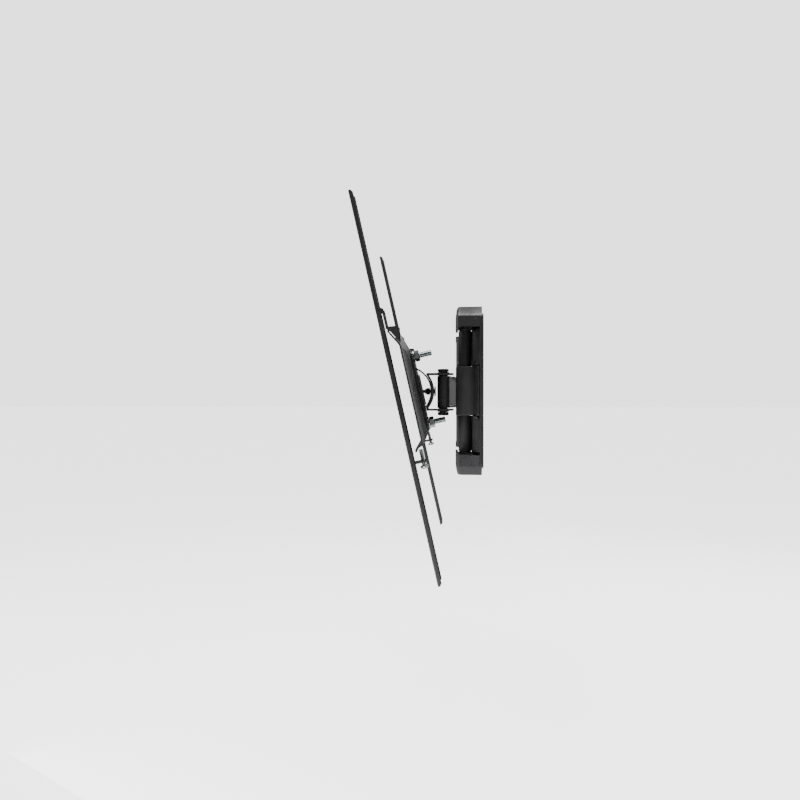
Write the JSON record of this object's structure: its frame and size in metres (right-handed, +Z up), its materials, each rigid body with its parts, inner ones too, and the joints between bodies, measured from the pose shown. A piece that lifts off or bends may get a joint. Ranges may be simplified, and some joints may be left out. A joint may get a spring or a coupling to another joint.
{
  "type": "full motion tv wall mount",
  "caption": "Folding wall mount for a flat television: wall hinge, rear and front arms, swivelling and tilting head, centre plate and two sliding brackets.",
  "frame": {"origin": "centre of the wall plate's back face, on the wall", "axes": "+Z up, X along the wall, -Y out of the wall into the room"},
  "size_m": [0.4516, 0.1536, 0.4243],
  "materials": {
    "steel": "fine textured black powder coat",
    "plastic": "satin black moulding",
    "zinc": "bright zinc plate",
    "nylon": "dark nylon",
    "black_oxide": "black oxide"
  },
  "bodies": {
    "wall": {"wall_plate": "steel", "cover_top": "plastic", "cover_centre": "plastic", "cover_bottom": "plastic", "wall_pin": "zinc", "wall_pin_nut": "zinc", "wall_pin_washer_top": "zinc", "wall_pin_washer_bottom": "zinc", "thrust_washer_upper_top": "nylon", "thrust_washer_upper_low": "nylon", "thrust_washer_lower_top": "nylon", "thrust_washer_lower_low": "nylon"},
    "rear_arms": {"upper_arm": "steel", "lower_arm": "steel", "upper_wall_bush": "nylon", "lower_wall_bush": "nylon", "upper_elbow_bush": "nylon", "lower_elbow_bush": "nylon", "upper_elbow_washer": "zinc", "lower_elbow_washer": "zinc", "upper_elbow_cap": "plastic", "lower_elbow_cap": "plastic", "elbow_bolt": "zinc", "elbow_nut": "zinc"},
    "front_link": {"front_arm": "steel", "front_elbow_bush_top": "nylon", "front_elbow_bush_low": "nylon", "head_bush_top": "nylon", "head_bush_low": "nylon"},
    "head": {"head_clevis": "steel", "head_bolt": "black_oxide", "head_nut": "black_oxide", "head_washer_top": "black_oxide", "head_washer_low": "black_oxide", "clamp_bolt": "black_oxide"},
    "clamp": {"clamp_nut": "black_oxide"},
    "carrier": {"tilt_carrier": "steel", "carrier_pad": "nylon"},
    "plate": {"centre_plate": "steel", "stud_top": "zinc", "stud_low": "zinc", "stud_washer_top": "zinc", "stud_washer_low": "zinc", "stud_nut_top": "zinc", "stud_nut_low": "zinc"},
    "left_rail": {"bracket_left": "steel"},
    "right_rail": {"bracket_right": "steel"},
    "left_lock": {"lock_screw_left": "zinc"},
    "right_lock": {"lock_screw_right": "zinc"}
  },
  "joints": [
    {"name": "wall_swivel", "type": "hinge", "parent": "wall", "child": "rear_arms", "pos_m": [0, -0.023, 0], "axis": [0, 0, 1], "range_deg": [0, 80]},
    {"name": "elbow", "type": "hinge", "parent": "rear_arms", "child": "front_link", "pos_m": [-0.23, -0.023, 0], "axis": [0, 0, -1], "range_deg": [0, 172]},
    {"name": "head_swivel", "type": "hinge", "parent": "front_link", "child": "head", "pos_m": [0, -0.052, -0.0012], "axis": [0, 0, 1], "range_deg": [-5, 70]},
    {"name": "tilt", "type": "hinge", "parent": "head", "child": "carrier", "pos_m": [0, -0.1005, -0.0005], "axis": [1, 0, 0], "range_deg": [-17.8, 1.2]},
    {"name": "clamp_turn", "type": "hinge", "parent": "head", "child": "clamp", "pos_m": [0, -0.1005, -0.0005], "axis": [0, 1, 0], "continuous": true},
    {"name": "level", "type": "hinge", "parent": "carrier", "child": "plate", "pos_m": [0, -0.08196, 0.00094], "axis": [0, 0.9751, 0.2215], "range_deg": [-3, 3]},
    {"name": "left_bracket_slide", "type": "slide", "parent": "plate", "child": "left_rail", "axis": [1, 0, 0], "range_m": [0, 0.1]},
    {"name": "right_bracket_slide", "type": "slide", "parent": "plate", "child": "right_rail", "axis": [-1, 0, 0], "range_m": [0, 0.1]},
    {"name": "left_lock_travel", "type": "slide", "parent": "left_rail", "child": "left_lock", "axis": [0, -0.2215, 0.9751], "range_m": [-0.008, 0.0004]},
    {"name": "right_lock_travel", "type": "slide", "parent": "right_rail", "child": "right_lock", "axis": [0, -0.2215, 0.9751], "range_m": [-0.008, 0.0004]}
  ]
}
